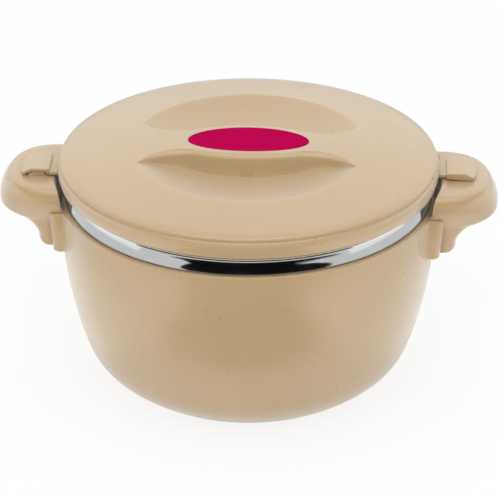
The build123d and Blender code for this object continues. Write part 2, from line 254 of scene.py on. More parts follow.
bowl_floor_level = recess_level + bowl_wall
inside = [point for point in bowl_curve(bowl_wall) if point[1] > bowl_floor_level]
outside = bowl_curve(0)
standing_ring = [
    (fill_hole_radius, recess_level),
    (foot_radius - foot_width, recess_level),
    (foot_radius - foot_width, 0),
]
bowl_inner_floor = [(inside[0][0], bowl_floor_level), (fill_hole_radius, bowl_floor_level)]
bowl_outline = standing_ring + outside + [(inside[-1][0], rim_level)] + inside[::-1][1:] + bowl_inner_floor
rim_corner = len(standing_ring) + len(outside) - 1
bowl_roundings = {1: foot_rounding, 2: foot_rounding, 3: foot_rounding, rim_corner: rim_rounding}
outer_bowl = piece("bowl_shell", turned(bowl_outline, bowl_roundings), beige_plastic, "base")
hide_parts("outer_bowl")


# Handle rails
# Four upright rails stand out of the bowl's wall and hold the handles sideways.
# They are moulded with the bowl: each is a bar with a drawn-in foot, and a thin pad beside it.
rail_gap = 0.4 * mm
rail_thickness = 7.4 * mm
rail_reach = 9.4 * mm
rail_foot_reach = 7.2 * mm
rail_height = 25 * mm
rail_corner_rounding = 3 * mm
rail_foot_rounding = 2.2 * mm
rail_edge_rounding = 0.55 * mm
rail_corner_steps = 4
pad_width = 12.6 * mm
pad_root_thickness = 1.8 * mm
pad_end_thickness = 0.35 * mm
pad_rise = 9.8 * mm
root_half_width = 29 * mm


def wall_x(radius, y):
    """Distance along X at which a circle about the axis has this Y."""
    return sqrt(radius ** 2 - y ** 2)


def rounded(bm, edges, rounding, steps=3):
    """Rounds edges of a mesh."""
    bmesh.ops.bevel(
        bm, geom=edges, offset=rounding, offset_type="OFFSET", segments=steps, profile=0.5, affect="EDGES",
        material=-1, clamp_overlap=True,
    )


def crisp_edges(bm):
    """Edges at which a mesh bends sharply."""
    return [edge for edge in bm.edges if edge.calc_face_angle(0) > sharp_angle]


def rail():
    """The rail beside the right handle at +Y."""
    inner_y = root_half_width + rail_gap
    outer_y = inner_y + rail_thickness
    pad_y = outer_y + pad_width
    foot_level = rim_level - rail_height
    sunk = rim_radius - bowl_wall / 2
    plan = (
        (wall_x(sunk, outer_y), outer_y),
        (wall_x(sunk, inner_y), inner_y),
        (wall_x(rim_radius + rail_reach, inner_y), inner_y),
        (wall_x(rim_radius + rail_reach, outer_y), outer_y),
        (wall_x(rim_radius, outer_y) + pad_root_thickness, outer_y),
        (wall_x(rim_radius, pad_y) + pad_end_thickness, pad_y),
        (wall_x(sunk, pad_y), pad_y),
    )
    bm = bmesh.new()
    corners = [bm.verts.new((x, y, foot_level)) for x, y in plan]
    bar_foot = bm.faces.new(corners[:5])
    pad_foot = bm.faces.new(corners[4:] + corners[:1])
    top = bmesh.ops.extrude_face_region(bm, geom=[bar_foot, pad_foot])["geom"]
    top_verts = [item for item in top if isinstance(item, bmesh.types.BMVert)]
    bmesh.ops.translate(bm, verts=top_verts, vec=(0, 0, rail_height))
    foot_verts = [vert for vert in bm.verts if vert not in top_verts]
    for vert in foot_verts:
        if vert.co.y > outer_y + rail_gap:
            vert.co.z += pad_rise
        if vert.co.x > rim_radius:
            vert.co.x -= rail_reach - rail_foot_reach
    bmesh.ops.recalc_face_normals(bm, faces=bm.faces[:])
    outer = [vert for vert in bm.verts if vert.co.x > rim_radius]
    outer_edges = [edge for edge in bm.edges if all(vert in outer for vert in edge.verts)]
    corner_edges = [edge for edge in outer_edges if edge.verts[0].co.y == edge.verts[1].co.y]
    foot_edges = [edge for edge in outer_edges if all(vert in foot_verts for vert in edge.verts)]
    rounded(bm, corner_edges, rail_corner_rounding, rail_corner_steps)
    rounded(bm, [edge for edge in foot_edges if edge.is_valid], rail_foot_rounding, rail_corner_steps)
    rounded(bm, crisp_edges(bm), rail_edge_rounding)
    return bm


for side, turn in (("right", 0), ("left", pi)):
    for end, flip in (("back", 1), ("front", -1)):
        bm = rail()
        bmesh.ops.scale(bm, vec=(1, flip, 1), verts=bm.verts[:])
        bmesh.ops.rotate(bm, cent=(0, 0, 0), matrix=Matrix.Rotation(turn, 3, "Z"), verts=bm.verts[:])
        bmesh.ops.recalc_face_normals(bm, faces=bm.faces[:])
        made = piece(f"{side}_{end}_rail", bm, beige_plastic, "base")
        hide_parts("outer_bowl")


# Foam, filling plug and handle screws
# Rigid foam fills the space between bowl and pot, a push-in plug shuts its filling hole, and zinc-plated
# screws from inside the bowl hold the handles. They stay as built, with finishes of their own.
foam_pale = (0.86, 0.78, 0.55, 1)
foam_deep = (0.66, 0.56, 0.34, 1)


def foam_material():
    """Cream foam with open cells."""
    material = bpy.data.materials.new("foam")
    material.use_nodes = True
    tree = material.node_tree
    shader = tree.nodes["Principled BSDF"]
    place = tree.nodes.new("ShaderNodeTexCoord").outputs["Object"]
    cells = tree.nodes.new("ShaderNodeTexVoronoi")
    cells.inputs["Scale"].default_value = 700
    ramp = tree.nodes.new("ShaderNodeValToRGB")
    ramp.color_ramp.elements[0].color = foam_pale
    ramp.color_ramp.elements[1].color = foam_deep
    bump = tree.nodes.new("ShaderNodeBump")
    bump.inputs["Distance"].default_value = 0.4 * mm
    tree.links.new(place, cells.inputs["Vector"])
    tree.links.new(cells.outputs["Distance"], ramp.inputs["Fac"])
    tree.links.new(ramp.outputs["Color"], shader.inputs["Base Color"])
    tree.links.new(cells.outputs["Distance"], bump.inputs["Height"])
    tree.links.new(bump.outputs["Normal"], shader.inputs["Normal"])
    shader.inputs["Roughness"].default_value = 0.9
    return material


# Spun metal: fine rings left by turning and polishing, with faint smears
def spun_metal_group():
    group, given, made = new_group("spun_metal", skin_inputs, skin_outputs)
    place = group.nodes.new("ShaderNodeTexCoord").outputs["Object"]
    apart = group.nodes.new("ShaderNodeSeparateXYZ")
    plan = group.nodes.new("ShaderNodeCombineXYZ")
    reach = group.nodes.new("ShaderNodeVectorMath")
    reach.operation = "LENGTH"
    rings = group.nodes.new("ShaderNodeCombineXYZ")
    group.links.new(place, apart.inputs[0])
    group.links.new(apart.outputs["X"], plan.inputs["X"])
    group.links.new(apart.outputs["Y"], plan.inputs["Y"])
    group.links.new(plan.outputs[0], reach.inputs[0])
    group.links.new(reach.outputs["Value"], rings.inputs["X"])
    group.links.new(apart.outputs["Z"], rings.inputs["Z"])
    lines = noise(group, rings.outputs[0], scale=2200, detail=2)
    smear = noise(group, place, scale=60, detail=5)
    tone = spread(group, smear, low=0, high=0.6)
    group.links.new(mixed(group, tone, given["Colour"], given["Second Colour"]), made["Colour"])
    shine = summed(group, given["Roughness"], spread(group, lines, low=-0.02, high=0.03))
    group.links.new(summed(group, shine, spread(group, smear, low=-0.01, high=0.03)), made["Roughness"])
    group.links.new(lines, made["Height"])
    return group


spun_metal = spun_metal_group()
line_strength = 0.2


def metal(name, colours, roughness, line_height):
    """A turned or rolled metal with rings and smears."""
    material = surface_finish(name, spun_metal, colours, roughness, line_height, line_strength)
    material.node_tree.nodes["Principled BSDF"].inputs["Metallic"].default_value = 1
    return material


def repaint(node, material):
    """Gives a carried-over node a finish."""
    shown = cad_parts[node]
    shown.data.materials.clear()
    shown.data.materials.append(material)


foam = foam_material()
plug_colours = ((0.44, 0.31, 0.16, 1), (0.36, 0.25, 0.12, 1))
plug_plastic = moulded_plastic("plug_plastic", plug_colours, roughness=0.45, grain_height=0.08 * mm)
zinc_colours = ((0.62, 0.62, 0.60, 1), (0.48, 0.47, 0.43, 1))
zinc = metal("zinc", zinc_colours, roughness=0.3, line_height=0.02 * mm)
repaint("body_insulation", foam)
repaint("lid_insulation", foam)
repaint("foam_plug", plug_plastic)
repaint("lid_foam_plug", plug_plastic)
repaint("handle_screws", zinc)


# Inner pot
# The pot is deep-drawn stainless sheet, polished. Its mouth turns over into a flat rim with a rolled bead,
# and an upright collar under the bead tucks inside the bowl's rim: that collar is the bright band.
pot_inset = 12.2 * mm
pot_sheet = 0.9 * mm
pot_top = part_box("inner_pot")[1].z
collar_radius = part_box("inner_pot")[1].x
collar_tuck = 6 * mm
mouth_rounding = 1.2 * mm
bead_radius = 3.2 * mm
bead_steps = 10
sway_radius = 70 * mm
sway_angle = 8
steel_colours = ((0.52, 0.52, 0.53, 1), (0.47, 0.47, 0.48, 1))

pot_inside = bowl_curve(pot_inset)
pot_outside = bowl_curve(pot_inset - pot_sheet)
bead_r = collar_radius - sway_radius + (sway_radius - bead_radius) * cos(radians(sway_angle))
bead = arc((bead_r, pot_top - bead_radius), bead_radius, 90, sway_angle, bead_steps)
sway_level = pot_top - bead_radius - (sway_radius - bead_radius) * sin(radians(sway_angle))
sway = arc((collar_radius - sway_radius, sway_level), sway_radius, sway_angle, 0, bead_steps)[1:]
collar = sway + [
    (collar_radius, rim_level - collar_tuck),
    (collar_radius - pot_sheet, rim_level - collar_tuck),
    (collar_radius - pot_sheet, pot_top - bead_radius),
    (bead_r, pot_top - pot_sheet),
    (pot_outside[-1][0], pot_top - pot_sheet),
]
pot_middle = [(0, pot_inside[0][1])]
pot_mouth = [(pot_inside[-1][0], pot_top)]
pot_underside = pot_outside[::-1] + [(0, pot_outside[0][1])]
pot_outline = pot_middle + pot_inside + pot_mouth + bead + collar + pot_underside
pot_roundings = {1 + len(pot_inside): mouth_rounding}
steel = metal("steel", steel_colours, roughness=0.06, line_height=0.001 * mm)
inner_pot = piece("steel_pot", turned(pot_outline, pot_roundings), steel, "base")
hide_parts("inner_pot")


# Handles
# Each handle is a hollow polypropylene ear on a narrower root, drawn into one smooth body, and screwed
# to the bowl between two rails. A low tongue on top takes the lid's locking hood.
nose_steps = 28
back_steps = 14
nose_x = rim_radius + 1.8 * mm
handle_top = rim_level + 14.5 * mm
ear_thickness = 24.2 * mm
ear_bottom = handle_top - ear_thickness
root_reach = 13.2 * mm
root_low = ear_bottom - 15.1 * mm
root_foot_depth = 4.2 * mm
root_foot_rise = 3.6 * mm
root_foot_power = 0.8
root_foot_steps = 3
hollow_low = ear_bottom - 9 * mm
hollow_high = ear_bottom + 2.3 * mm
hollow_reach = 33.8 * mm
hollow_power = 1.2
hollow_steps = 5
ear_edge_level = ear_bottom + 4.4 * mm
ear_edge_reach = 37.6 * mm
nose_level = ear_bottom + 8.2 * mm
nose_reach = 37.8 * mm
nose_power = 0.6
nose_rows = 4
ear_wide_level = ear_bottom + 15.6 * mm
ear_half_width = 36.5 * mm
ear_swell_level = ear_bottom + 1 * mm
ear_swell_power = 1.15
top_edge_height = 1.4 * mm
top_edge_reach = 28.9 * mm
top_edge_half_width = 31.5 * mm
ear_rounder_levels = 2
# Rings of the flat top: the share of its edge, and how far the ring is set off the back
top_rings = ((1, 0.4 * mm), (0.83, 1.2 * mm), (0.6, 6 * mm))
# How square the nose is in plan: 2 is an oval, more is nearer to a box
square_level = ear_bottom - 6.6 * mm
root_squareness = 4.6
edge_squareness = 2.4
nose_squareness = 2.1
top_squareness = 2.5
lid_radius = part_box("lid_shell")[1].y
lid_clearance = 0.8 * mm
ear_lean = 1.2 * mm
seat_gap = 0.2 * mm
back_edge_rounding = 0.5 * mm
tongue_inner = 122.6 * mm
tongue_fold = 129.6 * mm
tongue_outer = 132.5 * mm
tongue_height = 2.55 * mm
tongue_edge_height = 1.15 * mm
tongue_root = 1.7 * mm
tongue_ends = (-8.3 * mm, 13.3 * mm)
tongue_edge_rounding = 0.4 * mm
tongue_steps = 12
skin_weld = 0.005 * mm


def handle_back(level):
    """Radius of the handle's back: on the bowl below the rim, and leaning away from the lid above it."""
    if level < rim_level + seat_gap:
        return rim_radius + seat_gap
    return lid_radius + lid_clearance + ear_lean * (level - rim_level) / (handle_top - rim_level)


def handle_profile():
    """Level and reach of the handle's front, from the foot of its root up to near its top."""
    profile = []
    for step in range(root_foot_steps + 1):
        turn = pi / 2 * step / root_foot_steps
        level = root_low + root_foot_rise * (1 - abs(cos(turn)) ** root_foot_power)
        profile.append((level, root_reach - root_foot_depth * (1 - sin(turn) ** root_foot_power)))
    for step in range(hollow_steps + 1):
        turn = pi / 2 * step / hollow_steps
        level = hollow_low + (hollow_high - hollow_low) * sin(turn) ** hollow_power
        out = 1 - abs(cos(turn)) ** hollow_power
        profile.append((level, root_reach + (hollow_reach - root_reach) * out))
    profile.append((ear_edge_level, ear_edge_reach))
    for step in range(nose_rows + 1):
        level = nose_level + (handle_top - top_edge_height - nose_level) * step / nose_rows
        share = (level - nose_level) / (handle_top - nose_level)
        out = (1 - share ** 2) ** nose_power
        profile.append((level, top_edge_reach + (nose_reach - top_edge_reach) * out))
    return profile


def handle_half_width(level):
    """Half width of the handle: even along the root, widest high up the ear, drawn in to the top's edge."""
    if level < ear_wide_level:
        swell = max(level - ear_swell_level, 0) / (ear_wide_level - ear_swell_level)
        swell = sin(swell * pi / 2) ** ear_swell_power
        return root_half_width + (ear_half_width - root_half_width) * swell
    share = (level - ear_wide_level) / (handle_top - ear_wide_level)
    return top_edge_half_width + (ear_half_width - top_edge_half_width) * sqrt(1 - share ** 2)


def handle_squareness(level):
    """Squareness of the handle's nose in plan: nearly a box at the root, nearly an oval at the ear."""
    if level < hollow_high:
        share = max(level - square_level, 0) / (hollow_high - square_level)
        return root_squareness + (edge_squareness - root_squareness) * share
    if level < nose_level:
        share = (level - hollow_high) / (nose_level - hollow_high)
        return edge_squareness + (nose_squareness - edge_squareness) * share
    share = (level - nose_level) / (handle_top - nose_level)
    return nose_squareness + (top_squareness - nose_squareness) * share ** 3


def handle_loop(level, reach, half_width, back_inset, squareness):
    """One plan outline: a rounded nose, two short sides, and a back along the bowl or clear of the lid."""
    back_radius = back_inset + handle_back(level)
    power = 2 / squareness
    side_x = max(nose_x, back_radius * cos(asin(half_width / back_radius)) + back_edge_rounding)
    points = []
    for step in range(nose_steps + 1):
        turn = radians(180 * step / nose_steps - 90)
        out = abs(cos(turn)) ** power
        side = copysign(abs(sin(turn)) ** power, turn)
        points.append((side_x + (rim_radius + reach - side_x) * out, half_width * side))
    corner = asin(half_width / back_radius)
    corner_x = back_radius * cos(corner)
    points.append((corner_x + back_edge_rounding, half_width))
    for step in range(back_steps + 1):
        turn = (corner - back_edge_rounding / back_radius) * (1 - 2 * step / back_steps)
        points.append((back_radius * cos(turn), back_radius * sin(turn)))
    points.append((corner_x + back_edge_rounding, -half_width))
    return [(x, y, level) for x, y in points]


def skinned(rows, closed=True):
    """A skin over rows of points, one after the other: a grid whose vertices take the points' places."""
    bm = bmesh.new()
    if closed:
        rows = [[*row, row[0]] for row in rows]
    grid = bmesh.ops.create_grid(bm, x_segments=len(rows[0]) - 1, y_segments=len(rows) - 1, size=1)
    for vert, place in zip(grid["verts"], [place for row in rows for place in row]):
        vert.co = place
    bmesh.ops.remove_doubles(bm, verts=bm.verts[:], dist=skin_weld)
    bmesh.ops.dissolve_degenerate(bm, dist=weld, edges=bm.edges[:])
    return bm


def capped(bm):
    """Closes the open ends of a skin."""
    bmesh.ops.holes_fill(bm, edges=[edge for edge in bm.edges if edge.is_boundary], sides=0)
    bmesh.ops.recalc_face_normals(bm, faces=bm.faces[:])
    return bm


def handle():
    """The right handle."""
    loops = []
    for level, reach in handle_profile():
        loops.append(handle_loop(level, reach, handle_half_width(level), 0, handle_squareness(level)))
    for share, back_inset in top_rings:
        half_width = top_edge_half_width * share
        loops.append(handle_loop(handle_top, top_edge_reach * share, half_width, back_inset, top_squareness))
    return capped(skinned(loops))


def tongue():
    """The right handle's tongue, a low curved wedge that fills the lid's hood."""
    start, end = [asin(y / tongue_inner) for y in tongue_ends]
    bm = bmesh.new()
    base = handle_top - tongue_root
    top = handle_top + tongue_height
    section = (
        (tongue_inner, base), (tongue_inner, top), (tongue_fold, top),
        (tongue_outer, handle_top + tongue_edge_height), (tongue_outer, base),
    )
    face = bm.faces.new([bm.verts.new((radius, 0, level)) for radius, level in section])
    bmesh.ops.rotate(bm, cent=(0, 0, 0), matrix=Matrix.Rotation(start, 3, "Z"), verts=bm.verts[:])
    bmesh.ops.spin(bm, geom=[face], angle=end - start, steps=tongue_steps, axis=(0, 0, 1), cent=(0, 0, 0))
    bmesh.ops.remove_doubles(bm, verts=bm.verts[:], dist=weld)
    bmesh.ops.recalc_face_normals(bm, faces=bm.faces[:])
    rounded(bm, crisp_edges(bm), tongue_edge_rounding)
    return bm


for side, turn in (("right", 0), ("left", pi)):
    half_turn = Matrix.Rotation(turn, 3, "Z")
    ear = handle()
    bmesh.ops.rotate(ear, cent=(0, 0, 0), matrix=half_turn, verts=ear.verts[:])
    ear_piece = piece(f"{side}_ear", ear, beige_plastic, "base")
    rounder = ear_piece.modifiers.new("rounder", "SUBSURF")
    rounder.levels = ear_rounder_levels
    rounder.render_levels = ear_rounder_levels
    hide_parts(f"{side}_handle")
    bar = tongue()
    bmesh.ops.rotate(bar, cent=(0, 0, 0), matrix=half_turn, verts=bar.verts[:])
    tongue_piece = piece(f"{side}_tongue", bar, beige_plastic, "base")
    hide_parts(f"{side}_handle")


# Lid
# The lid's top is one moulding: a low dome with two finger scoops that leave a pinch bar between them,
# a rounded shoulder, a groove and an upright skirt. An oval seat in the bar takes the badge.
lid_steps = 288
dome_arc = 640 * mm
lid_wall = 2.6 * mm
skirt_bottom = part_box("lid_shell")[0].z
skirt_top = skirt_bottom + 9.9 * mm
skirt_edge_width = 1.6 * mm
skirt_edge_height = 3 * mm
skirt_tuck = 1.1 * mm
skirt_edge_rounding = 0.35 * mm
skirt_edge_steps = 8
skirt_rows = (0.25, 0.5, 0.75, 1)
shoulder_radius = lid_radius - 1.5 * mm
shoulder_rounding = 1.1 * mm
shoulder_height = 2.36 * mm
shoulder_start = 72
shoulder_steps = 4
groove_width = 1 * mm
groove_depth = 0.25 * mm
groove_floor = (0.7, 0.2)
ledge_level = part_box("lid_liner")[1].z
ledge_width = 5 * mm
ledge_thickness = 2 * mm
scoop_radius = 68.7 * mm
scoop_offset = 6.1 * mm
scoop_depth = 13.4 * mm
scoop_edge_rounding = 0.5 * mm
scoop_steepness = 2.4
bar_half_width = 25.6 * mm
bar_waist = 18.4 * mm
bar_waist_reach = 42 * mm
bar_tip_half_width = 27.8 * mm
bar_tip_reach = 65 * mm
bar_edge_rounding = 4.6 * mm
bar_foot_rounding = 0.15 * mm
bar_batter = 0.16
bar_end_reach = 74 * mm
tip_turn = radians(25)
badge_half_length = 36.3 * mm
badge_half_width = 16.5 * mm
badge_seat_depth = 0.6 * mm
badge_fit = 0.15 * mm
# Rows of the lid's top between one edge and the next, as shares of the way
seat_rows = (0.4, 1)
bar_top_rows = (0.12, 0.25, 0.4, 0.55, 0.7, 0.85, 0.96)
scoop_rows = (0, 0.08, 0.2, 0.35, 0.5, 0.65, 0.8, 0.92)
lip_rows = (0, 0.25, 0.5, 0.75, 1)
rim_rows = (0.1, 0.25, 0.4, 0.55, 0.7, 0.85, 1)
bar_edge_steps = 5
# How the rows on the bar run: out along it first, and then across to its edge
path_lead = 1.5
path_bend = 3
# Most that a rounding takes of the bar's height or of the scoop's width
edge_limit = 1.5
edge_drop_limit = 0.7
foot_limit = 0.2
lip_limit = 0.3

dome_centre = skirt_top + shoulder_height - sqrt(dome_arc ** 2 - shoulder_radius ** 2)
flare_run = bar_tip_reach - bar_waist_reach
flare_rise = bar_tip_half_width - bar_waist
flare_radius = (flare_run ** 2 + flare_rise ** 2) / (2 * flare_rise)
flare_y = bar_waist + flare_radius
bulge_drop = flare_y - bar_half_width
bulge_span = bar_waist_reach ** 2 + bulge_drop ** 2 - flare_radius ** 2
bulge_radius = bulge_span / (2 * (flare_radius - bulge_drop))
bulge_y = bar_half_width - bulge_radius
bulge_reach = bar_waist_reach * bulge_radius / (bulge_radius + flare_radius)
tip_x = sqrt(scoop_radius ** 2 - (bar_tip_half_width - scoop_offset) ** 2)


def dome_level(x, y):
    """Level of the dome over a place."""
    return dome_centre + sqrt(dome_arc ** 2 - x ** 2 - y ** 2)


def scoop_floor(x, y):
    """Level of the scoops' floor over a place: deep under the bar, and up to the dome at the far edge."""
    reach = min(sqrt(x ** 2 + (abs(y) - scoop_offset) ** 2) / scoop_radius, 1)
    return dome_level(x, y) - scoop_depth * (1 - reach ** scoop_steepness)


def bar_edge(x):
    """Half width of the pinch bar: a bulge beside the badge between two flares."""
    if x < bulge_reach:
        return bulge_y + sqrt(bulge_radius ** 2 - x ** 2)
    if x < bar_tip_reach:
        return flare_y - sqrt(flare_radius ** 2 - (x - bar_waist_reach) ** 2)
    return bar_tip_half_width


def lid_places(turn):
    """Where a turn meets the badge seat, the bar's edge and the scoop's far edge, in the first quarter."""
    seat = Vector((badge_half_length * cos(turn), badge_half_width * sin(turn)))
    if turn > tip_turn:
        x = tip_x * cos(turn) / cos(tip_turn)
        near = Vector((x, bar_edge(x)))
        far = Vector((x, scoop_offset + sqrt(scoop_radius ** 2 - x ** 2)))
    else:
        y = bar_tip_half_width * sin(turn) / sin(tip_turn)
        near = Vector((bar_end_reach - (bar_end_reach - tip_x) * (y / bar_tip_half_width) ** 2, y))
        far = near.copy()
    return seat, near, far


def lid_column(turn, inset):
    """Places from the badge seat out to the shoulder at one turn, as plan and level, lowered by inset."""
    seat, near, far = lid_places(turn)
    inwards = Vector((0, -1)) if turn > tip_turn else -near.normalized()
    outwards = (far - Vector((0, scoop_offset))).normalized()
    height = max(dome_level(*near) - scoop_floor(*near), 0) if turn > tip_turn else 0
    edge = min(bar_edge_rounding, height * edge_limit)
    edge_drop = min(bar_edge_rounding, height * edge_drop_limit)
    foot = min(bar_foot_rounding, height * foot_limit)
    lip = min(scoop_edge_rounding, (far - near).length * lip_limit)
    rim = Vector((cos(turn), sin(turn))) * (shoulder_radius - shoulder_rounding)
    near = near + inwards * inset
    places = []
    for share in seat_rows:
        plan = seat * share
        places.append((plan, dome_level(*plan) - badge_seat_depth))
    seat_edge = seat + seat.normalized() * badge_fit
    places.append((seat_edge, dome_level(*seat_edge) - badge_seat_depth))
    places.append((seat_edge, dome_level(*seat_edge) - badge_fit))
    seat_lip = seat_edge + seat.normalized() * badge_fit
    places.append((seat_lip, dome_level(*seat_lip)))
    wall_top = near + inwards * height * bar_batter
    top = wall_top + inwards * edge
    for share in bar_top_rows:
        along = seat_lip.x + (top.x - seat_lip.x) * (1 - (1 - share) ** path_lead)
        plan = Vector((along, seat_lip.y + (top.y - seat_lip.y) * share ** path_bend))
        places.append((plan, dome_level(*plan)))
    for step in range(bar_edge_steps + 1):
        bend = radians(90 * step / bar_edge_steps)
        plan = wall_top + inwards * edge * (1 - sin(bend))
        places.append((plan, dome_level(*plan) - edge_drop * (1 - cos(bend))))
    floor_start = near - inwards * foot
    wall_foot = dome_level(*near)
    if height:
        wall_foot = min(scoop_floor(*near) + foot, wall_foot - edge_drop)
    places.append((near, wall_foot))
    lip_start = far - outwards * lip
    lip_end = far + outwards * lip
    for share in scoop_rows:
        plan = floor_start.lerp(lip_start, share)
        level = scoop_floor(*plan) if height else dome_level(*plan)
        places.append((plan, min(level, dome_level(*plan))))
    lip_low = scoop_floor(*lip_start)
    lip_rise = dome_level(*lip_end) - lip_low
    for share in lip_rows:
        plan = lip_start.lerp(lip_end, share)
        level = lip_low + lip_rise * share * (2 - share) if height else dome_level(*plan)
        places.append((plan, level))
    for share in rim_rows:
        plan = lip_end.lerp(rim, share)
        places.append((plan, dome_level(*plan)))
    return [(plan, level - inset) for plan, level in places]


def lid_loops(inset):
    """Closed loops of points over the lid's top, from the badge seat out to the shoulder."""
    columns = []
    for step in range(lid_steps):
        turn = 2 * pi * step / lid_steps
        quarter = asin(min(abs(sin(turn)), 1))
        flip_x = copysign(1, cos(turn))
        flip_y = copysign(1, sin(turn))
        column = lid_column(quarter, inset)
        columns.append([(plan.x * flip_x, plan.y * flip_y, level) for plan, level in column])
    return [list(ring) for ring in zip(*columns)]


def round_loop(radius, level):
    """A closed loop of points round the axis, in step with the lid's loops."""
    turns = [2 * pi * step / lid_steps for step in range(lid_steps)]
    return [(radius * cos(turn), radius * sin(turn), level) for turn in turns]


def lid_top():
    """The lid's moulding: top, shoulder, groove, skirt, ledge and underside."""
    shoulder_level = dome_level(shoulder_radius, 0)
    shoulder_centre = (shoulder_radius - shoulder_rounding, shoulder_level - shoulder_rounding)
    shoulder = arc(shoulder_centre, shoulder_rounding, shoulder_start, 0, shoulder_steps)
    bend = []
    for step in range(skirt_edge_steps + 1):
        turn = radians(90 - 90 * step / skirt_edge_steps)
        radius = lid_radius - skirt_edge_width * (1 - cos(turn))
        bend.append((radius, skirt_top - skirt_edge_height * (1 - sin(turn))))
    inner_radius = lid_radius - lid_wall
    hem = skirt_edge_rounding
    tuck = []
    for share in skirt_rows:
        level = skirt_top - skirt_edge_height
        level += (skirt_bottom + hem - level) * share
        tuck.append((lid_radius - skirt_tuck * share ** 2, level))
    groove = [(shoulder_radius - groove_depth, skirt_top + groove_width * share) for share in groove_floor]
    profile = shoulder + [(shoulder_radius, skirt_top + groove_width)] + groove + bend + tuck + [
        (lid_radius - skirt_tuck - hem, skirt_bottom),
        (inner_radius + hem, skirt_bottom),
        (inner_radius, skirt_bottom + hem),
        (inner_radius, ledge_level),
        (inner_radius - ledge_width, ledge_level),
        (inner_radius - ledge_width, ledge_level + ledge_thickness),
        (inner_radius, ledge_level + ledge_thickness),
    ]
    skirt = [round_loop(radius, level) for radius, level in profile]
    return capped(skinned(lid_loops(0) + skirt + lid_loops(lid_wall)[::-1]))


lid_piece = piece("lid_top", lid_top(), beige_plastic, "lid")
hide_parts("lid_shell")


# Locking hoods
# Two hollow hoods, moulded with the lid, reach over the handles from short necks on the skirt.
# One end of each is open, so that turning the lid slides the hood over the handle's tongue.
hood_inner_x = lid_radius + 4.5 * mm
hood_width = 18 * mm
hood_flat_width = 11 * mm
hood_ends = (-10.5 * mm, 14.5 * mm)
hood_height = 4.2 * mm
hood_edge_height = 0.8 * mm
hood_lift = 1 * mm
hood_wall = 1.7 * mm
hood_bow_radius = 34 * mm
hood_steps = 10
hood_edge_rounding = 0.45 * mm
hood_level = handle_top + 0.4 * mm
neck_setback = 2.5 * mm
neck_thickness = 2.2 * mm
neck_drop = 1.7 * mm


def hood():
    """The hood over the right handle: a folded sheet closed at its front end, then given its wall."""
    outer_x = hood_inner_x + hood_width
    fold_x = hood_inner_x + hood_flat_width
    top = hood_level + hood_height
    slope = (hood_height - hood_edge_height) / (outer_x - fold_x)
    start, end = hood_ends
    bow_x = outer_x - hood_bow_radius
    rows = []
    for step in range(hood_steps + 1):
        y = start + (end - start) * step / hood_steps
        edge_x = bow_x + sqrt(hood_bow_radius ** 2 - (y - (start + end) / 2) ** 2)
        edge_level = top - slope * (edge_x - fold_x)
        section = (
            (hood_inner_x, hood_level + hood_lift), (hood_inner_x, top), (fold_x, top), (edge_x, edge_level),
            (edge_x, hood_level),
        )
        rows.append([(x, y, level) for x, level in section])
    bm = skinned(rows, closed=False)
    front = [vert for vert in bm.verts if abs(vert.co.y - start) < hood_edge_rounding]
    bmesh.ops.contextual_create(bm, geom=[e for e in bm.edges if all(v in front for v in e.verts)])
    bmesh.ops.recalc_face_normals(bm, faces=bm.faces[:])
    bmesh.ops.solidify(bm, geom=bm.faces[:], thickness=hood_wall)
    bmesh.ops.recalc_face_normals(bm, faces=bm.faces[:])
    rounded(bm, crisp_edges(bm), hood_edge_rounding)
    return bm


def neck():
    """The flat neck between skirt and right hood."""
    top = hood_level + hood_height - neck_drop
    low = Vector((lid_radius - lid_wall / 2, hood_ends[0] + neck_setback, top - neck_thickness))
    high = Vector((hood_inner_x + hood_wall / 2, hood_ends[1], top))
    bm = bmesh.new()
    bmesh.ops.create_cube(bm, size=1)
    bmesh.ops.scale(bm, vec=high - low, verts=bm.verts[:])
    bmesh.ops.translate(bm, vec=(low + high) / 2, verts=bm.verts[:])
    rounded(bm, bm.edges[:], hood_edge_rounding)
    return bm


for side, turn in (("right", 0), ("left", pi)):
    half_turn = Matrix.Rotation(turn, 3, "Z")
    for name, bm in (("hood", hood()), ("neck", neck())):
        bmesh.ops.rotate(bm, cent=(0, 0, 0), matrix=half_turn, verts=bm.verts[:])
        made = piece(f"{side}_{name}", bm, beige_plastic, "lid")
        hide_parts("lid_shell")


# Lid liner and seal
# A pale moulded pan closes the lid from below and plugs the pot's mouth. A silicone ring with a bevelled lip
# lies under its flange and meets the steel rim.
flange_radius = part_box("lid_liner")[1].x
flange_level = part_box("lid_seal")[1].z
pan_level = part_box("lid_liner")[0].z
pan_radius = 99.2 * mm
liner_wall = 2 * mm
pan_rounding = 3 * mm
seal_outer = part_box("lid_seal")[1].x
seal_width = 6.4 * mm
seal_lip = 0.8 * mm
liner_colours = ((0.56, 0.46, 0.32, 1), (0.50, 0.40, 0.27, 1))
seal_colours = ((0.70, 0.69, 0.65, 1), (0.60, 0.58, 0.53, 1))

liner_plastic = moulded_plastic("liner_plastic", liner_colours, roughness=0.42, grain_height=0.06 * mm)
liner_outline = [
    (fill_hole_radius, pan_level), (pan_radius, pan_level), (pan_radius, flange_level),
    (flange_radius, flange_level), (flange_radius, ledge_level), (pan_radius - liner_wall, ledge_level),
    (pan_radius - liner_wall, pan_level + liner_wall), (fill_hole_radius, pan_level + liner_wall),
]
liner_roundings = {1: pan_rounding, 2: seal_lip, 6: pan_rounding / 2}
liner = piece("lid_pan", turned(liner_outline, liner_roundings), liner_plastic, "lid")
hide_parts("lid_liner")

seal_rubber = moulded_plastic("seal_rubber", seal_colours, roughness=0.6, grain_height=0.05 * mm)
seal_inner = seal_outer - seal_width
seal_outline = [
    (seal_inner + seal_lip, pot_top), (seal_outer, pot_top), (seal_outer, flange_level),
    (seal_inner, flange_level), (seal_inner, pot_top + seal_lip),
]
seal = piece("seal_ring", turned(seal_outline), seal_rubber, "seal")
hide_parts("lid_seal")


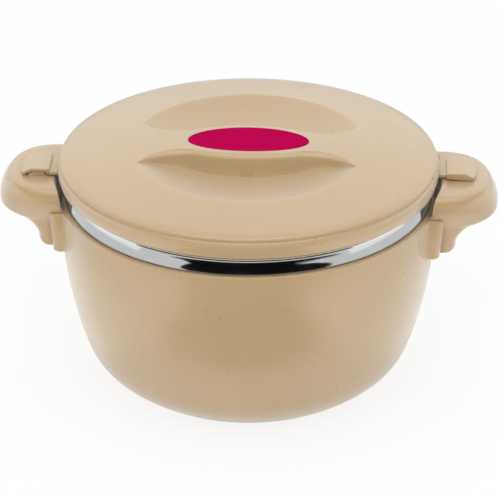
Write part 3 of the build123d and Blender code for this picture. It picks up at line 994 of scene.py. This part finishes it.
# Badge
# A thin oval plate of even crimson plastic, let into the pinch bar and slightly proud of it.
# Its face is bare, with a fine rounded edge.
badge_stand = 0.3 * mm
badge_edge = 0.25 * mm
badge_edge_steps = 4
badge_rings = (0.3, 0.6, 0.85)
badge_colours = ((0.445, 0.0026, 0.069, 1), (0.425, 0.0022, 0.065, 1))


def badge_loop(grow, share, drop):
    """A closed oval loop of points that follows the dome."""
    loop = []
    for step in range(lid_steps):
        turn = 2 * pi * step / lid_steps
        x = (badge_half_length + grow) * cos(turn) * share
        y = (badge_half_width + grow) * sin(turn) * share
        loop.append((x, y, dome_level(x, y) - drop))
    return loop


def badge_plate():
    """The oval plate, from its underside over its edge to its middle."""
    loops = [badge_loop(0, share, badge_seat_depth) for share in (*badge_rings, 1)]
    for step in range(badge_edge_steps + 1):
        bend = radians(90 * step / badge_edge_steps)
        drop = badge_edge * (1 - sin(bend)) - badge_stand
        loops.append(badge_loop(-badge_edge * (1 - cos(bend)), 1, drop))
    loops += [badge_loop(0, share, -badge_stand) for share in badge_rings[::-1]]
    return capped(skinned(loops))


crimson = moulded_plastic("crimson", badge_colours, roughness=0.3, grain_height=0.004 * mm)
crimson.node_tree.nodes["Principled BSDF"].inputs["Specular IOR Level"].default_value = 0
badge = piece("badge_plate", badge_plate(), crimson, "lid")
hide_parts("lid_badge")


# Studio
# A white table that runs up into a white room, a long lens from the front and above, a little to the right,
# and soft lamps. Cards out of the picture, which only shiny pieces mirror, draw the steel band: dark ones in
# front and round it, pale ones behind and beside it. Glowing strips close beside its ends are painted
# reflections: white in front of the handles, and a dark grey painted shade where the handles' shaded sides
# are mirrored.
camera_target = Vector((0, 0, 84 * mm))
camera_distance = 1.8
camera_pitch = radians(27.2)
camera_azimuth = radians(2.6)
camera_run = cos(camera_pitch)
camera_side = Vector((sin(camera_azimuth) * camera_run, -cos(camera_azimuth) * camera_run, sin(camera_pitch)))
lens = bpy.data.cameras.new("camera")
lens.lens = 211.7
lens.sensor_width = 36
lens.shift_x = 0.003
camera = bpy.data.objects.new("camera", lens)
camera.location = camera_target + camera_side * camera_distance
camera.rotation_mode = "QUATERNION"
camera.rotation_quaternion = (-camera_side).to_track_quat("-Z", "Y")
bpy.context.scene.collection.objects.link(camera)
bpy.context.scene.camera = camera
bpy.context.scene.view_settings.view_transform = "Standard"

paper_white = (0.93, 0.93, 0.93, 1)


def studio_white(name, shadow_share):
    """White for the camera and in mirrors, with a share of plain white paper that takes the shadow."""
    material = bpy.data.materials.new(name)
    material.use_nodes = True
    tree = material.node_tree
    tree.nodes.clear()
    paper = tree.nodes.new("ShaderNodeBsdfDiffuse")
    paper.inputs["Color"].default_value = paper_white
    white = tree.nodes.new("ShaderNodeEmission")
    path = tree.nodes.new("ShaderNodeLightPath")
    mirrored = summed(tree, path.outputs["Is Glossy Ray"], path.outputs["Is Transmission Ray"])
    seen = summed(tree, path.outputs["Is Camera Ray"], mirrored)
    share = tree.nodes.new("ShaderNodeMath")
    share.operation = "MULTIPLY"
    share.use_clamp = True
    share.inputs[1].default_value = 1 - shadow_share
    mix = tree.nodes.new("ShaderNodeMixShader")
    out = tree.nodes.new("ShaderNodeOutputMaterial")
    tree.links.new(seen, share.inputs[0])
    tree.links.new(share.outputs[0], mix.inputs[0])
    tree.links.new(paper.outputs[0], mix.inputs[1])
    tree.links.new(white.outputs[0], mix.inputs[2])
    tree.links.new(mix.outputs[0], out.inputs["Surface"])
    return material


def stage_sheet(name, bm, material):
    """A sheet of the studio."""
    mesh = bpy.data.meshes.new(name)
    bm.to_mesh(mesh)
    bm.free()
    mesh.materials.append(material)
    made = bpy.data.objects.new(name, mesh)
    bpy.context.scene.collection.objects.link(made)
    return made


def flat(corners):
    """A flat face, given by its corners."""
    bm = bmesh.new()
    bm.faces.new([bm.verts.new(corner) for corner in corners])
    return bm


def upright(line, low, high):
    """An upright band over a line in plan, between two levels."""
    return skinned([[(x, y, level) for x, y in line] for level in (low, high)], closed=False)


table_reach = 6
table_corners = (
    (-table_reach, -table_reach, 0), (table_reach, -table_reach, 0),
    (table_reach, table_reach, 0), (-table_reach, table_reach, 0),
)
stage_sheet("table", flat(table_corners), studio_white("table_white", shadow_share=0.14))


def grey_paper(name, shade):
    """Dull grey paper."""
    material = bpy.data.materials.new(name)
    material.use_nodes = True
    shader = material.node_tree.nodes["Principled BSDF"]
    shader.inputs["Base Color"].default_value = (shade, shade, shade, 1)
    shader.inputs["Roughness"].default_value = 0.95
    shader.inputs["Specular IOR Level"].default_value = 0
    return material


def card(name, bm, material):
    """A sheet that is kept out of the picture and out of the light, so that only shiny pieces show it."""
    made = stage_sheet(name, bm, material)
    made.visible_camera = False
    made.visible_diffuse = False
    made.visible_transmission = False
    made.visible_shadow = False


# The front card lies where the camera sees the table mirrored in the band. Its outline is chosen on the band,
# as turns from the camera's side and tilts of the mirror in degrees
band_level = rim_level + 4 * mm
card_level = 2 * mm
card_outline = (
    (0, 0.9), (12, 0.8), (19, 0.9), (23.5, 1.2), (26.2, 2.4), (24.5, 4), (20.5, 5.2), (14, 6.4), (22, 6.9),
    (29.4, 7.2), (26, 9), (18, 10), (8, 10.4), (0, 10.5), (-12, 10.2), (-20, 9.6), (-24.7, 8), (-20, 7),
    (-17.5, 5.8), (-19.5, 4.5), (-21, 2.4), (-18, 1.2), (-12, 0.9),
)


def mirrored_place(turn, tilt):
    """Corner of a card where the camera sees the table in the band, at a turn and a tilt."""
    turn = radians(turn) + camera_azimuth
    outwards = Vector((sin(turn), -cos(turn), 0))
    place = outwards * collar_radius + Vector((0, 0, band_level))
    mirror = outwards * cos(radians(tilt)) + Vector((0, 0, sin(radians(tilt))))
    ray = (place - camera.location).reflect(mirror)
    place -= ray * (place.z / ray.z)
    return place.x, place.y, card_level


front_corners = [mirrored_place(*angles) for angles in card_outline]
card("front_card", flat(front_corners), grey_paper("card_black", shade=0.006))

near_half_width = 0.13
near_front = -0.33
near_back = -0.15
near_corners = (
    (-near_half_width, near_front, card_level), (near_half_width, near_front, card_level),
    (near_half_width, near_back, card_level), (-near_half_width, near_back, card_level),
)
card("near_card", flat(near_corners), grey_paper("near_grey", shade=0.15))

wall_reach = 2.6
wall_end = 1.6
wall_line = (
    (-wall_reach, wall_end), (-wall_reach, -wall_reach), (wall_reach, -wall_reach), (wall_reach, wall_end)
)
card("dark_wall", upright(wall_line, low=0.45, high=2.6), grey_paper("card_grey", shade=0.12))
back_line = ((-wall_reach, wall_reach), (wall_reach, wall_reach))
card("back_wall", upright(back_line, low=0.02, high=0.6), grey_paper("back_grey", shade=0.75))


def glowing(name, strength):
    """Paper that shows one even brightness, whatever light falls on it."""
    material = bpy.data.materials.new(name)
    material.use_nodes = True
    tree = material.node_tree
    tree.nodes.clear()
    light = tree.nodes.new("ShaderNodeEmission")
    light.inputs["Strength"].default_value = strength
    out = tree.nodes.new("ShaderNodeOutputMaterial")
    tree.links.new(light.outputs[0], out.inputs["Surface"])
    return material


# Painted reflections in the steel band: glowing strips close beside its ends, white in front of the handles
# and dark grey for the handles' shaded sides
strip_radius = 112 * mm
strip_low = rim_level + 0.3 * mm
strip_high = rim_level + 8.5 * mm
strips = (
    ("white", range(60, 73, 3), glowing("painted_reflection_white", strength=1)),
    ("grey", range(72, 97, 6), glowing("painted_reflection_grey", strength=0.16)),
)
side_inner = 0.5
side_outer = 1.3
side_turns = range(60, 168, 8)
side_white = glowing("side_white", strength=1.4)


def round_line(radius, turns, flip):
    """Places round the bowl in plan, at turns in degrees from its front, to one side."""
    return [(radius * sin(radians(turn)) * flip, -radius * cos(radians(turn))) for turn in turns]


for side, flip in (("right", 1), ("left", -1)):
    side_line = round_line(side_inner, side_turns, flip) + round_line(side_outer, side_turns[::-1], flip)
    card(f"{side}_card", flat([(x, y, card_level) for x, y in side_line]), side_white)
    for name, turns, material in strips:
        strip_line = round_line(strip_radius, turns, flip)
        card(f"{side}_{name}_strip", upright(strip_line, strip_low, strip_high), material)

# The room is white to the camera and in mirrors, and a little dimmer as light on the pieces
world = bpy.data.worlds.new("studio")
bpy.context.scene.world = world
world.use_nodes = True
room = world.node_tree.nodes["Background"]
room.inputs["Color"].default_value = (1, 1, 1, 1)
world_path = world.node_tree.nodes.new("ShaderNodeLightPath")
room_level = world.node_tree.nodes.new("ShaderNodeMapRange")
room_level.inputs["To Min"].default_value = 1
room_level.inputs["To Max"].default_value = 0.8
world.node_tree.links.new(world_path.outputs["Is Diffuse Ray"], room_level.inputs["Value"])
world.node_tree.links.new(room_level.outputs["Result"], room.inputs["Strength"])


def softbox(name, size, place, aim, energy):
    """A soft lamp that shines from a place towards another."""
    lamp = bpy.data.lights.new(name, "AREA")
    lamp.shape = "RECTANGLE"
    lamp.size, lamp.size_y = size
    lamp.energy = energy
    holder = bpy.data.objects.new(name, lamp)
    holder.location = place
    holder.rotation_mode = "QUATERNION"
    holder.rotation_quaternion = (Vector(aim) - Vector(place)).to_track_quat("-Z", "Y")
    bpy.context.scene.collection.objects.link(holder)
    return holder


bowl_middle = (0, 0, 0.1)
lid_middle = (0, 0, 0.14)
backlight = softbox("backlight", size=(5, 2.6), place=(0, 1.9, 1.5), aim=lid_middle, energy=22)
backlight.visible_diffuse = False
overhead = softbox("overhead", size=(1.4, 1.4), place=(0, 0, 1.9), aim=bowl_middle, energy=5)
overhead.visible_glossy = False
key = softbox("key", size=(1.4, 1.2), place=(0, -1.7, 1.8), aim=bowl_middle, energy=20)
key.visible_glossy = False
edge_light = softbox("edge_light", size=(1.6, 0.7), place=(0, -0.3, 2), aim=bowl_middle, energy=6)
edge_light.visible_diffuse = False
for side, flip in (("right", 1), ("left", -1)):
    side_light = softbox(
        f"{side}_light", size=(2, 0.65), place=(1.6 * flip, 0.2, 0.42), aim=bowl_middle, energy=5
    )
    side_light.visible_diffuse = False
    glow_place = (0.19 * flip, 0.05, 0.003)
    glow = softbox(f"{side}_glow", size=(0.135, 0.6), place=glow_place, aim=(*glow_place[:2], 1), energy=0.09)
    glow.visible_diffuse = False
    glow.visible_camera = False
